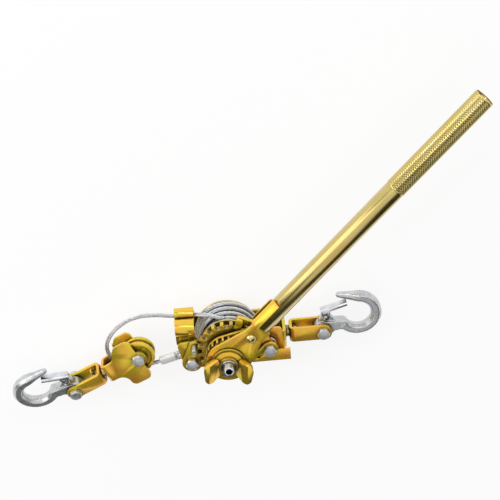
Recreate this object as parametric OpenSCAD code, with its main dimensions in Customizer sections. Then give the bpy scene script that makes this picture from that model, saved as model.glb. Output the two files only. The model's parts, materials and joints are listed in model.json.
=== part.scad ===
// Come along winch: double ratchet cable puller with a snatch block and two latch hooks.
// Lies on its back. Z is the drum axis, X runs to the anchor hook, Y is the handle side.

/* [Frame] */
// Thickness of every frame plate (mm)
plate_t = 3.5; // [3:0.5:5]
// Clear space between rear and middle plate (mm)
drum_gap = 37; // [34:1:44]
// Clear space between middle plate and front bracket (mm)
wheel_gap = 12; // [11:0.5:15]
// Height of the rear plate above the floor (mm)
stand_height = 10; // [9:0.5:14]
// Distance from drum axis to the anchor end web (mm)
anchor_reach = 67.6; // [66:0.2:75]

/* [Rope] */
// Wire rope diameter (mm)
rope_d = 4.8; // [4:0.2:5]
// Turns of rope in the outer layer
rope_turns = 4.5; // [2.5:0.5:4.5]

/* [Wheels] */
// Teeth on the holding wheel
hold_teeth = 20; // [12:4:20]
// Tip radius of the holding wheel (mm)
hold_tip = 34.5; // [32:0.5:34.5]
// Teeth on the drive wheel
drive_teeth = 24; // [18:6:24]
// Tip radius of the drive wheel (mm)
drive_tip = 26; // [25:0.5:27]

/* [Handle] */
// Direction of the handle from the X axis (deg)
handle_angle = 45.7; // [40:0.1:90]
// Distance from drum axis to the end of the grip (mm)
handle_reach = 404; // [300:2:450]
// Handle tube diameter (mm)
tube_d = 22.2; // [21:0.2:24]
// Handle tube wall (mm)
tube_wall = 1.6; // [1.2:0.1:2.5]
// Length of the knurled grip (mm)
grip_length = 131; // [110:1:170]

/* [Hooks] */
// Radius of the hook bowl (mm)
bowl_r = 15.3; // [14:0.1:17]
// Width of the forged section across the bowl (mm)
hook_width = 12.4; // [11:0.2:14]
// Thickness of the hook (mm)
hook_t = 13.5; // [12:0.5:14]
// Direction of the anchor hook (deg)
anchor_hook_angle = 8; // [-40:1:40]
// Direction of the load hook, measured from its clevis (deg)
load_hook_angle = -18; // [-45:1:45]

/* [Block] */
// Sheave radius over the flanges (mm)
sheave_r = 19; // [18:0.5:20]
// Direction of the block and its clevis from the X axis (deg)
block_angle = 25.3; // [10:0.1:35]
// Clear space between the cheeks (mm)
cheek_gap = 16; // [15:0.5:18]

/* [Clevises] */
// Clevis length from bolt to web face (mm)
clevis_length = 39; // [36:1:46]
// Clear space between the clevis legs (mm)
clevis_gap = 15; // [14.5:0.5:18]
// Roll of the load clevis and hook about the pull axis (deg)
load_roll = 17; // [-90:1:90]
// Clear space between a clevis web and the web it turns on (mm)
swivel_gap = 4; // [3:0.5:6]

/* [Hidden] */
$fn = 64;
run = 0.05;
soft = 0.3;
skin = 0.12;
floor_z = 0;
rear_z = stand_height;
rear_top = rear_z + plate_t;
mid_z = rear_top + drum_gap;
mid_top = mid_z + plate_t;
front_z = mid_top + wheel_gap;
front_top = front_z + plate_t;
line_z = (rear_top + mid_z) / 2;
axle_r = 6;
hub_r = 10;
hub_z = rear_top + 1;

jaw_t = 3.5;
jaw_gap = 11;
rear_jaw_z = front_top + 1.5;
drive_z = rear_jaw_z + jaw_t + 1.5;
drive_t = jaw_gap - 3;
front_jaw_z = rear_jaw_z + jaw_t + jaw_gap;
front_jaw_top = front_jaw_z + jaw_t;
handle_z = rear_jaw_z + jaw_t + jaw_gap / 2;
ring_z = front_jaw_top + 0.5;
ring_t = 1.8;
knob_z = ring_z + ring_t;
knob_t = 3.5;
collar_top = knob_z + 6;
washer_t = 1.8;
screw_z = collar_top + 0.3;

flange_t = 3;
flange_r = 35.6;
front_flange_r = 30;
drum_z = hub_z;
drum_top = mid_z - 1;
lane_gap = 0.44;
lane_rear = drum_z + flange_t + soft + rope_d / 2;
lane_front = drum_top - flange_t - soft - rope_d / 2;
turns = min(rope_turns, floor(2 * (lane_front - lane_rear) / (rope_d + lane_gap)) / 2);
lane_pitch = (lane_front - lane_rear) / turns;
coil_front = 29.4;
coil_rear = 36.6;
barrel_r = 15;

hold_z = mid_top + 4;
hold_t = wheel_gap - 4.5;
hold_root = hold_tip - 5;
hold_gap_angle = 70;
drive_root = drive_tip - 3.5;
pawl_gap_turn = 14;
drive_gap_angle = handle_angle - pawl_gap_turn;

bolt_r = 4;
bolt_af = 13;
head_h = 5.3;
nut_h = 6.8;
anchor_bolt_at = [-42.4, -19.4];
pawl_bolt_at = [anchor_reach - 20.3, -1.8];
stop_pin_at = [-38, 3.4];
stop_pin_r = 2.6;
swivel_y = -3.2;
bracket_rivet_x = anchor_reach - 10.6;
swivel_r = 5;

hold_lift = 4.5;
drive_lift = 16;
rivet_x = 39;
tube_start = 57;
tube_y = -1.4;

guide_x = -58;
guide_w = 22;
guide_wall = 3;
eye_wall = 2.8;
guide_eye = [29.9, 29];
guide_eye_r = 4.8;
guide_lobe = [20.7, mid_top - 10.4];
guide_lobe_r = 10.4;

block_at = [-104.7, -16.9];
rope_seat_r = sheave_r - 1.6;
cheek_t = 3.5;
neck_reach = 45.3;
block_swivel = neck_reach;
load_clevis_at = block_at - (neck_reach + swivel_gap + clevis_length) * [cos(block_angle), sin(block_angle)];
anchor_clevis_at = [anchor_reach + swivel_gap + clevis_length, swivel_y];

leg_t = 3.5;
clevis_half = clevis_gap / 2 + leg_t;
clevis_w = 18;
boss_r = 10;
pin_head_t = 4.5;

bowl_at = [43, 11.5];
bowl_mid = bowl_r + hook_width / 2;
eye_r = 10.5;
latch_at = [6, 16];
latch_half = 5.5;
latch_lean = 8.5;
latch_wall = 1.2;
lug_half = 4;
tip_angle = 78;
heel_angle = -152;

ferrule_at = [-71.2, -27.2];
ferrule_l = 19;
thimble_floor = 4.8;
eye_mid = thimble_floor + soft + rope_d / 2;

plate_corners = [[-43, -20, 9.5], [anchor_reach - 10.1, -12, 7], [anchor_reach - 10.1, 10.5, 6]];
rope_ring = 8;

// Route of the free rope from the drum, through the guide, round the sheave to the ferrule
rope_route = [
    [-0.4, coil_front, lane_front],
    [-8, coil_front + 1, lane_front],
    [-15, coil_front + 3.3, lane_front - 2],
    [-22, coil_front + 3.3, lane_front - 5.1],
    [-31, guide_eye[0] + 0.3, 33.4],
    [-39, guide_eye[0] - 1.1, guide_eye[1] + 1.3],
    [-48, guide_eye[0] - 1.3, guide_eye[1] + 0.8],
    [-60, guide_eye[0] - 1, guide_eye[1] + 0.5],
    [-80, 32.2, 29.3],
    [-99, 32.3, 29.8],
    [-116, 26.7, 30.4],
    [-130.5, 15.5, 31.4],
    [-138.5, 3, line_z],
    [-140, -9, line_z],
    [-136, -20, line_z],
    [-126.5, -27, line_z],
    seat_point(-120),
    seat_point(-98),
    seat_point(-76),
    [-91, -32.3, line_z],
    ferrule_end(-1)
];

function unit(v) = v / norm(v);
function seat_point(a) = [block_at[0] + rope_seat_r * cos(a), block_at[1] + rope_seat_r * sin(a), line_z];
function ferrule_dir() = unit(anchor_bolt_at - ferrule_at);
function ferrule_end(side) = let (p = ferrule_at + side * ferrule_l / 2 * ferrule_dir()) [p[0], p[1], line_z];

// Outward normal of the outer tangent from disc a to disc b, each [x, y, r]
function belt_normal(a, b) =
    let (d = [b[0] - a[0], b[1] - a[1]], t = atan2(d[1], d[0]) - acos((a[2] - b[2]) / norm(d)))
    [cos(t), sin(t)];

// Points along a smooth curve through the route
function curve(p, steps) = [
    for (i = [0:len(p) - 2], k = [0:steps - 1])
        let (a = p[max(i - 1, 0)], b = p[i], c = p[i + 1], d = p[min(i + 2, len(p) - 1)], t = k / steps)
        0.5 * (2 * b + (c - a) * t + (2 * a - 5 * b + 4 * c - d) * t * t + (3 * b - a - 3 * c + d) * t * t * t),
    p[len(p) - 1]
];

// Points along a helix: turns run clockwise from angle a0, rise by pitch and widen by growth
function helix(r, growth, pitch, turns, a0, z0, steps) = [
    for (i = [0:turns * steps])
        let (a = a0 - 360 * i / steps, w = r + growth * i / steps)
        [w * cos(a), w * sin(a), z0 + pitch * i / steps]
];

function heading(p, i) = unit(p[min(i + 1, len(p) - 1)] - p[max(i - 1, 0)]);

// Least distance between the surfaces of two turns of a tube
function turn_gap(p, steps, d) = min([for (i = [0:len(p) - 1 - steps], k = [-2:2])
    if (i + steps + k < len(p) && i + steps + k >= 0) norm(p[i] - p[i + steps + k])]) - d;

// Tube of the given diameter and side count along the points
module tube_along(p, d, sides) {
    rings = len(p);
    points = [
        for (i = [0:rings - 1], k = [0:sides - 1])
            let (t = heading(p, i), s = unit(cross(t, [0, 0, 1])), u = cross(s, t), a = 360 * k / sides)
            p[i] + d / 2 * (cos(a) * s + sin(a) * u)
    ];
    sides_faces = [
        for (i = [0:rings - 2], k = [0:sides - 1])
            [i * sides + k, i * sides + (k + 1) % sides, (i + 1) * sides + (k + 1) % sides, (i + 1) * sides + k]
    ];
    ends = [[for (k = [sides - 1:-1:0]) k], [for (k = [0:sides - 1]) (rings - 1) * sides + k]];
    polyhedron(points = points, faces = concat(sides_faces, ends), convexity = 6);
}

// Convex outline drawn like a belt round discs given counterclockwise
module belt(discs) {
    count = len(discs);
    polygon([
        for (i = [0:count - 1])
            let (a = discs[i], b = discs[(i + 1) % count], n = belt_normal(a, b))
            each [[a[0], a[1]] + a[2] * n, [b[0], b[1]] + b[2] * n]
    ]);
    for (c = discs) {
        translate([c[0], c[1]]) circle(r = c[2]);
    }
}

module slab(z, t) {
    translate([0, 0, z]) linear_extrude(t) children();
}

module rod(at, r, z, h) {
    translate([at[0], at[1], z]) cylinder(r = r, h = h);
}

module hex(at, af, z, h) {
    translate([at[0], at[1], z]) cylinder(r = af / 2 / cos(30), h = h, $fn = 6);
}

// Hexagon with its corners turned off at one end, side 1 above and -1 below
module turned_hex(at, af, z, h, side) {
    corner = af / 2 / cos(30);
    low = side > 0 ? corner + h - 1.1 : af / 2 - 0.3;
    high = side > 0 ? af / 2 - 0.3 : corner + h - 1.1;
    intersection() {
        hex(at, af, z, h);
        translate([at[0], at[1], z]) cylinder(r1 = low, r2 = high, h = h);
    }
}

// Strip bent to a U: web outer face at x = reach, legs to the left, centred on z = 0
module bent_u(left, reach, half, t, bend, width) {
    rotate([90, 0, 0])
        translate([0, 0, -width / 2])
            linear_extrude(width)
                difference() {
                    belt([[left, half - 0.5, 0.5], [left, 0.5 - half, 0.5],
                        [reach - bend, bend - half, bend], [reach - bend, half - bend, bend]]);
                    belt([[left - 9, half - t - 0.5, 0.5], [left - 9, t + 0.5 - half, 0.5],
                        [reach - bend, bend - half, bend - t], [reach - bend, half - bend, bend - t]]);
                }
}

// Hex bolt through both legs of a clevis or block, with its nut, centred on z = 0
module through_bolt(half, tip) {
    rod([0, 0], bolt_r, -half - nut_h - tip, 2 * half + nut_h + tip + 1);
    turned_hex([0, 0], bolt_af, half, head_h, 1);
    turned_hex([0, 0], bolt_af, -half - nut_h, nut_h, -1);
}

module frame_plate_outline(corners) {
    difference() {
        belt(corners);
        translate(anchor_bolt_at) circle(r = bolt_r + run);
        translate(pawl_bolt_at) circle(r = bolt_r + run);
    }
}

module rear_plate() {
    color([0.80, 0.62, 0.20])
        slab(rear_z, plate_t)
            difference() {
                frame_plate_outline(concat([[-52.5, 10.5, 6]], plate_corners));
                circle(r = axle_r + run);
                translate([26, -9.5]) square([7, 6]);
            }
}

module middle_plate() {
    color([0.80, 0.62, 0.20])
        slab(mid_z, plate_t)
            difference() {
                frame_plate_outline(concat([[-50.6, 1.3, 6.4]], plate_corners));
                circle(r = hub_r + run);
                translate(stop_pin_at) circle(r = stop_pin_r + run);
            }
}

module anchor_plate() {
    color([0.80, 0.60, 0.18])
        slab(mid_top, plate_t)
            difference() {
                belt([[stop_pin_at[0], stop_pin_at[1] + 0.6, 6.2],
                    [anchor_bolt_at[0], anchor_bolt_at[1], 11.5]]);
                translate(anchor_bolt_at) circle(r = bolt_r + run);
                translate(stop_pin_at) circle(r = stop_pin_r + run);
            }
}

module front_bracket() {
    wall_y = -17;
    bolt_x = pawl_bolt_at[0];
    left = bolt_x - 19.3;
    right = bolt_x + 23.2;
    color([0.76, 0.60, 0.20]) {
        slab(front_z, plate_t)
            difference() {
                union() {
                    belt([[bolt_x, pawl_bolt_at[1], 9.5], [left, wall_y + 4.5, 4.5], [bolt_x, wall_y + 4, 4]]);
                    translate([left, wall_y]) square([right - left, 6]);
                    translate([bolt_x - 3.3, wall_y]) square([right - bolt_x + 3.3, 13.5]);
                }
                translate(pawl_bolt_at) circle(r = bolt_r + run);
                translate([bolt_x - 13.5, wall_y + 6.2]) circle(r = 1.6);
            }
        translate([bolt_x - 10.3, wall_y, mid_top]) cube([25, plate_t, wheel_gap + 1]);
    }
}

module end_bracket() {
    half = drum_gap / 2;
    color([0.78, 0.58, 0.17])
        translate([0, swivel_y, line_z])
            difference() {
                bent_u(anchor_reach - 27.6, anchor_reach, half, leg_t, 6, 23);
                for (side = [-1, 1]) {
                    rod(pawl_bolt_at - [0, swivel_y], bolt_r + run, side * half - 5, 10);
                    for (y = [-7, 8]) rod([bracket_rivet_x, y], 2 + run, side * half - 5, 10);
                }
                translate([anchor_reach - 10, 0, 0]) rotate([0, 90, 0]) cylinder(r = swivel_r + run, h = 20);
            }
}

module bracket_rivets() {
    color([0.86, 0.74, 0.42])
        for (y = [-7, 8]) {
            rod([bracket_rivet_x, swivel_y + y], 2, mid_z - leg_t - 1, leg_t + 1);
            rod([bracket_rivet_x, swivel_y + y], 3.2, mid_z - leg_t - 1.6, 1.6);
            rod([bracket_rivet_x, swivel_y + y], 2, rear_top, leg_t + 1);
            rod([bracket_rivet_x, swivel_y + y], 3.2, rear_top + leg_t, 1.6);
        }
}

module guide_profile() {
    leg_y = 3;
    difference() {
        translate(guide_lobe) circle(r = guide_lobe_r);
        translate(guide_lobe) circle(r = guide_lobe_r - guide_wall);
        translate(guide_lobe) rotate(150) square([30, 30]);
        translate(guide_lobe) rotate(200) square([30, 30]);
        translate([0, mid_z]) square([guide_lobe[0] - 5.3, 30]);
    }
    difference() {
        translate(guide_eye) circle(r = guide_eye_r + eye_wall);
        translate(guide_eye) circle(r = guide_eye_r);
    }
    difference() {
        translate([leg_y, mid_z - guide_wall]) square([guide_lobe[0] - 7.2 - leg_y, guide_wall]);
        translate(guide_lobe) circle(r = guide_lobe_r - guide_wall);
    }
    translate([leg_y, rear_top]) square([24 - leg_y, guide_wall]);
    difference() {
        belt([[guide_eye[0] - 1.5, guide_eye[1] - 4.6, 1.5], [22.4, rear_top + 1.5, 1.5]]);
        translate(guide_eye) circle(r = guide_eye_r);
    }
}

module cable_guide() {
    color([0.84, 0.66, 0.22])
        translate([guide_x, 0, 0])
            rotate([90, 0, 90]) linear_extrude(guide_w) guide_profile();
}

module anchor_bolt() {
    color([0.78, 0.79, 0.82]) {
        rod(anchor_bolt_at, bolt_r, floor_z, mid_top + plate_t + 1);
        turned_hex(anchor_bolt_at, bolt_af, mid_top + plate_t, head_h, 1);
    }
}

module pawl_bolt() {
    color([0.78, 0.79, 0.82]) {
        rod(pawl_bolt_at, bolt_r, floor_z, front_top + 1);
        turned_hex(pawl_bolt_at, bolt_af, front_top, head_h, 1);
    }
}

module frame_nuts() {
    color([0.74, 0.75, 0.78])
        for (at = [anchor_bolt_at, pawl_bolt_at]) {
            difference() {
                turned_hex(at, bolt_af, rear_z - nut_h, nut_h, -1);
                rod(at, bolt_r + run, rear_z - nut_h - 1, nut_h + 2);
            }
        }
}

module frame_spacers() {
    thimble_half = 4.6;
    color([0.80, 0.66, 0.30]) {
        difference() {
            union() {
                rod(anchor_bolt_at, 6.8, rear_top, line_z - thimble_half - rear_top);
                rod(anchor_bolt_at, 6.8, line_z + thimble_half, mid_z - line_z - thimble_half);
            }
            rod(anchor_bolt_at, bolt_r + run, rear_z, drum_gap + 2 * plate_t);
        }
        difference() {
            rod(pawl_bolt_at, 7.5, rear_top + leg_t, drum_gap - 2 * leg_t);
            rod(pawl_bolt_at, bolt_r + run, rear_z, drum_gap + 2 * plate_t);
        }
    }
}

module stop_pin() {
    color([0.82, 0.83, 0.86])
        difference() {
            rod(stop_pin_at, stop_pin_r, mid_z, front_top + 0.5 - mid_z);
            rod(stop_pin_at, 1.3, front_top - 2.5, 4);
        }
}

module main_axle() {
    color([0.72, 0.73, 0.76])
        difference() {
            union() {
                rod([0, 0], 12, floor_z, rear_z);
                rod([0, 0], axle_r, floor_z, front_jaw_top + 4.5);
            }
            rod([0, 0], 3 + run, front_jaw_top - 8, 14);
        }
}

module cap_screw() {
    color([0.84, 0.85, 0.88])
        difference() {
            union() {
                rod([0, 0], 3, front_jaw_top - 7.5, screw_z - front_jaw_top + 8);
                rod([0, 0], 8.6, screw_z, washer_t);
                rod([0, 0], 6.3, screw_z, washer_t + 9);
            }
            hex([0, 0], 6, screw_z + washer_t + 5, 5);
        }
}

module pawl_spring() {
    wire = 1.3;
    pitch = wire + 0.55;
    path = helix(7.4, 0, pitch, 1.75, 200, mid_top + 1.3, 24);
    echo(pawl_spring_gap = turn_gap(path, 24, wire));
    color([0.85, 0.85, 0.82])
        translate(concat(pawl_bolt_at, 0)) tube_along(path, wire, 6);
}

module cable_run() {
    path = curve(rope_route, 3);
    echo(free_rope_mm = len(path) > 1 ? path_length(path) : 0);
    color([0.70, 0.72, 0.74]) tube_along(path, rope_d, rope_ring);
}

function path_length(p) = [for (i = 0, s = 0; i < len(p) - 1; s = s + norm(p[i + 1] - p[i]), i = i + 1) s + norm(p[i + 1] - p[i])][len(p) - 2];

module along_ferrule() {
    d = ferrule_dir();
    translate([ferrule_at[0], ferrule_at[1], line_z]) rotate(atan2(d[1], d[0])) children();
}

module cable_ferrule() {
    color([0.88, 0.89, 0.90])
        along_ferrule()
            difference() {
                rotate([90, 0, 90])
                    translate([0, 0, -ferrule_l / 2])
                        linear_extrude(ferrule_l) belt([[-2, 0, 3.6], [2, 0, 3.6]]);
                for (x = [-5, 1, 7]) {
                    translate([x - 0.8, -10, 3]) cube([1.6, 20, 2]);
                    translate([x - 0.8, -10, -5]) cube([1.6, 20, 2]);
                }
            }
}

module cable_eye() {
    reach = norm(anchor_bolt_at - ferrule_at);
    start = reach - ferrule_l / 2 - 0.6;
    gap = rope_d / 2 + 0.25;
    lean = asin(eye_mid / norm([start, gap])) - atan2(gap, start);
    path = concat([[reach - start, gap, 0]],
        [for (i = [0:16]) let (a = (90 + lean) * (1 - i / 8)) [reach + eye_mid * cos(a), eye_mid * sin(a), 0]],
        [[reach - start, -gap, 0]]);
    echo(rope_eye_gap = 2 * gap - rope_d);
    color([0.70, 0.72, 0.74])
        along_ferrule() tube_along(path, rope_d, rope_ring);
}

module cable_thimble() {
    rim = 4.3;
    color([0.80, 0.81, 0.83])
        translate([anchor_bolt_at[0], anchor_bolt_at[1], line_z])
            rotate_extrude()
                difference() {
                    translate([bolt_r + run, -rim]) square([thimble_floor + 2.2 - bolt_r, 2 * rim]);
                    translate([eye_mid, 0]) circle(r = rope_d / 2 + soft);
                    polygon([[eye_mid, -2.7], [eye_mid + 5, -4.1], [eye_mid + 5, 4.1], [eye_mid, 2.7]]);
                }
}

module cable_drum() {
    color([0.74, 0.66, 0.42])
        difference() {
            union() {
                translate([0, 0, drum_z])
                    rotate_extrude()
                        belt([[hub_r + 1, 0.5, 0.5], [flange_r - 1.5, flange_t / 2, flange_t / 2],
                            [hub_r + 1, flange_t - 0.5, 0.5]]);
                rod([0, 0], barrel_r, drum_z, drum_top - drum_z);
                rod([0, 0], front_flange_r, drum_top - flange_t, flange_t);
                rod([0, 0], hub_r, drum_z, knob_z - drum_z);
            }
            rod([0, 0], axle_r + run, drum_z - 1, 100);
        }
}

module rope_layers() {
    under = rope_d / 2 + 2 * soft;
    low = drum_z + flange_t + soft;
    high = drum_top - flange_t - soft;
    color([0.66, 0.68, 0.70])
        rotate_extrude()
            polygon([[barrel_r + soft, low], [coil_rear - under, low], [coil_rear - under, lane_rear],
                [coil_front - under, lane_front], [coil_front - under, high], [barrel_r + soft, high]]);
}

module rope_winding() {
    path = helix(coil_front, (coil_rear - coil_front) / turns, -lane_pitch, turns, 90, lane_front, 24);
    echo(rope_winding_gap = turn_gap(path, 24, rope_d));
    color([0.70, 0.72, 0.74]) tube_along(path, rope_d, 6);
}

// Wheel blank with square teeth, one gap centred on angle a
module toothed_outline(count, tip, root, a) {
    step = 360 / count;
    half = step * 0.21;
    polygon([
        for (i = [0:count - 1])
            let (m = a + step * (i + 0.5))
            each [
                root * [cos(m - half - 1), sin(m - half - 1)],
                tip * [cos(m - half + 0.6), sin(m - half + 0.6)],
                tip * [cos(m + half - 0.6), sin(m + half - 0.6)],
                root * [cos(m + half + 1), sin(m + half + 1)]
            ]
    ]);
}

module holding_ratchet() {
    color([0.78, 0.68, 0.24])
        slab(hold_z, hold_t)
            difference() {
                toothed_outline(hold_teeth, hold_tip, hold_root, hold_gap_angle);
                circle(r = hub_r + run);
            }
}

module drive_ratchet() {
    color([0.80, 0.68, 0.30])
        slab(drive_z, drive_t)
            difference() {
                toothed_outline(drive_teeth, drive_tip, drive_root, drive_gap_angle);
                circle(r = hub_r + run);
            }
}

module knob_ring() {
    color([0.86, 0.74, 0.44])
        slab(ring_z, ring_t)
            difference() {
                circle(r = 19);
                circle(r = hub_r + run);
            }
}

module wing_knob() {
    ear_top = knob_z + 13.5;
    color([0.82, 0.64, 0.22])
        difference() {
            union() {
                rod([0, 0], 16.4, knob_z, knob_t);
                rod([0, 0], 10.6, knob_z, collar_top - knob_z);
                rotate(-7)
                    for (side = [0, 1]) mirror([side, 0, 0]) {
                        intersection() {
                            slab(knob_z, 20)
                                belt([[13, 4.5, 3], [11.5, -10.5, 3], [19.5, -13, 6.5], [21.5, -3, 6]]);
                            translate([0, 20, 0])
                                rotate([90, 0, 0])
                                    linear_extrude(50)
                                        polygon([[8, knob_z], [17, knob_z], [28, knob_z + 6], [28, ear_top],
                                            [21, ear_top], [11.5, knob_z + knob_t + 4], [8, knob_z + knob_t]]);
                        }
                    }
            }
            rod([0, 0], axle_r + run, knob_z - 1, 20);
        }
}

module at_lifted_pawl() {
    translate(pawl_bolt_at) rotate(-hold_lift) translate(-pawl_bolt_at) children();
}

module holding_pawl() {
    head = (hold_tip + 3.8) * [cos(hold_gap_angle), sin(hold_gap_angle)];
    knee = [pawl_bolt_at[0] - 14, 26];
    front = hold_z + hold_t;
    low = hold_z + 1.6;
    cheek = 2.2;
    nose_top = rear_jaw_z - 1.7;
    color([0.84, 0.66, 0.24])
        difference() {
            union() {
                at_lifted_pawl() {
                    slab(low, front - low) {
                        belt([[head[0], head[1], 2.8], [knee[0], knee[1], 4]]);
                        belt([[knee[0], knee[1], 4], [pawl_bolt_at[0], pawl_bolt_at[1], 6.2]]);
                        rotate(hold_gap_angle) translate([hold_root + 2.4, -1.6]) square([hold_tip - hold_root, 3.2]);
                    }
                    rotate(hold_gap_angle) {
                        slab(low, front + soft - low)
                            translate([hold_tip + 1.6, -3]) square([4, 6]);
                        slab(front + soft, nose_top - front - soft)
                            polygon([[hold_tip - 6.6, -2.6], [hold_tip - 5.4, -3.8], [hold_tip + 4.4, -4.2],
                                [hold_tip + 6.2, -2.6], [hold_tip + 6.2, 2], [hold_tip + 4.4, 3.6],
                                [hold_tip - 5.4, 3], [hold_tip - 6.6, 1.8]]);
                    }
                }
                rod(pawl_bolt_at, 6.2, mid_top + 0.2, wheel_gap - 0.4);
            }
            rod(pawl_bolt_at, bolt_r + run, mid_top - 1, wheel_gap + 2);
        }
}

module at_handle() {
    rotate(handle_angle) children();
}

module jaw_outline(head, neck_y, neck_r) {
    difference() {
        union() {
            belt([[0, 0, head], [rivet_x + 1, neck_y, neck_r]]);
            belt([[rivet_x + 1, neck_y, neck_r], [62, tube_y - 0.2, tube_d / 2 - 0.5]]);
        }
        circle(r = hub_r + run);
        translate([rivet_x, 0]) circle(r = 3.5 + run);
        translate([27.5, -19.5]) circle(r = 3.4);
        translate([tube_start - 0.2, -40]) square([80, 80]);
    }
}

// Saddle strip lying on the tube, side 1 on the front and -1 on the rear
module jaw_saddle(side, length, from) {
    inner = tube_d / 2 + 0.15;
    start = 54.5;
    translate([start, tube_y, handle_z])
        rotate([90, 0, 90])
            linear_extrude(length)
                intersection() {
                    difference() {
                        circle(r = inner + 2.3);
                        circle(r = inner);
                    }
                    polygon([[0, 0], [20 * sin(from), side * 20 * cos(from)], [30 * sin(from + 30), side * 30 * cos(from + 30)],
                        [20 * sin(76), side * 20 * cos(76)]]);
                }
}

module handle_front_jaw() {
    color([0.82, 0.64, 0.20])
        at_handle() {
            slab(front_jaw_z, jaw_t) jaw_outline(24.5, -0.3, 11.9);
            jaw_saddle(1, 37, 24);
        }
}

module handle_rear_jaw() {
    color([0.78, 0.60, 0.18])
        at_handle() {
            slab(rear_jaw_z, jaw_t) jaw_outline(24.8, -4.4, 7.8);
            jaw_saddle(-1, 30, 4);
        }
}

module handle_tube() {
    neck = handle_reach - grip_length;
    color([0.82, 0.63, 0.19])
        at_handle()
            translate([0, tube_y, handle_z])
                rotate([0, 90, 0])
                    difference() {
                        union() {
                            translate([0, 0, tube_start]) cylinder(d = tube_d, h = neck - tube_start);
                            translate([0, 0, neck - 1]) cylinder(d = tube_d - 1, h = grip_length);
                        }
                        translate([0, 0, tube_start - 1]) cylinder(d = tube_d - 2 * tube_wall, h = handle_reach);
                    }
}

module handle_grip() {
    neck = handle_reach - grip_length;
    color([0.80, 0.62, 0.22])
        at_handle()
            translate([neck, tube_y, handle_z]) rotate([0, 90, 0])
                difference() {
                    cylinder(d = tube_d + 0.6, h = grip_length);
                    translate([0, 0, -1]) cylinder(d = tube_d - 1, h = grip_length + 2);
                }
}

module handle_rivet() {
    color([0.84, 0.72, 0.40])
        at_handle() {
            rod([rivet_x, 0], 3.5, rear_jaw_z - 0.5, front_jaw_top - rear_jaw_z + 1);
            rod([rivet_x, 0], 5, rear_jaw_z - 1.2, 1.2);
            intersection() {
                translate([rivet_x, 0, front_jaw_top - 3.4]) sphere(r = 6.6);
                rod([rivet_x, 0], 6, front_jaw_top, 5);
            }
        }
}

module drive_pawl() {
    tip = (drive_root + 2.6) * [cos(pawl_gap_turn), -sin(pawl_gap_turn)];
    knee = (drive_tip + 4.4) * [cos(pawl_gap_turn), -sin(pawl_gap_turn)];
    color([0.84, 0.66, 0.26])
        at_handle()
            translate([rivet_x, 0, 0]) rotate(drive_lift) translate([-rivet_x, 0, 0])
                slab(drive_z, drive_t)
                    difference() {
                        union() {
                            belt([[rivet_x, 0, 6.2], [knee[0], knee[1], 2.5]]);
                            belt([[knee[0], knee[1], 1.9], [tip[0], tip[1], 0.6]]);
                        }
                        translate([rivet_x, 0]) circle(r = 3.5 + run);
                    }
}

// Local frame of the snatch block: sheave axis at the origin, frame side towards +x
module at_block() {
    translate([block_at[0], block_at[1], line_z]) rotate(block_angle) children();
}

module cheek_outline() {
    fillet = 11;
    difference() {
        union() {
            circle(r = 9.6);
            belt([[-14.5, 21, 6.5], [-17, -22.5, 6.5], [-4.5, -22.5, 6.5], [-4.5, 21, 6.5]]);
            translate([-neck_reach, -11]) square([neck_reach - 10, 22]);
            translate([-23.5 - fillet, -11 - fillet]) square([fillet + 4, 2 * (11 + fillet)]);
        }
        for (side = [-1, 1]) {
            translate([-23.5 - fillet, side * (11 + fillet)]) circle(r = fillet);
        }
    }
}

module block_shell() {
    half = cheek_gap / 2 + cheek_t;
    color([0.82, 0.62, 0.20])
        at_block()
            difference() {
                intersection() {
                    mirror([1, 0, 0]) bent_u(-12, neck_reach, half, cheek_t, 6, 70);
                    slab(-half - 1, 2 * half + 2) cheek_outline();
                }
                rod([0, 0], bolt_r + run, -half - 1, 2 * half + 2);
                translate([-neck_reach - 5, 0, 0]) rotate([0, 90, 0]) cylinder(r = swivel_r + run, h = 12);
            }
}

module block_bolt() {
    color([0.78, 0.79, 0.82]) at_block() through_bolt(cheek_gap / 2 + cheek_t, 2);
}

module sheave() {
    half = cheek_gap / 2 - 0.5;
    groove = rope_d / 2 + soft + 0.2;
    color([0.80, 0.70, 0.44])
        at_block()
            rotate_extrude()
                difference() {
                    translate([bolt_r + run, -half]) square([sheave_r - bolt_r - run, 2 * half]);
                    translate([rope_seat_r, 0]) circle(r = groove);
                    polygon([[rope_seat_r, -groove], [sheave_r + 1, -groove - 1.6], [sheave_r + 1, groove + 1.6],
                        [rope_seat_r, groove]]);
                    translate([9, half - 1]) square([6, 2]);
                    translate([9, -half - 1]) square([6, 2]);
                }
}

// U clevis with its bolt at the origin and its web towards +x
module clevis_body() {
    color([0.82, 0.62, 0.18])
        difference() {
            intersection() {
                bent_u(-12, clevis_length, clevis_half, leg_t, 6, 30);
                slab(-clevis_half - 1, 2 * clevis_half + 2) {
                    circle(r = boss_r);
                    translate([0, -clevis_w / 2]) square([clevis_length, clevis_w]);
                }
            }
            rod([0, 0], bolt_r + run, -clevis_half - 1, 2 * clevis_half + 2);
            translate([clevis_length - 10, 0, 0]) rotate([0, 90, 0]) cylinder(r = swivel_r + run, h = 20);
        }
}

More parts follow.
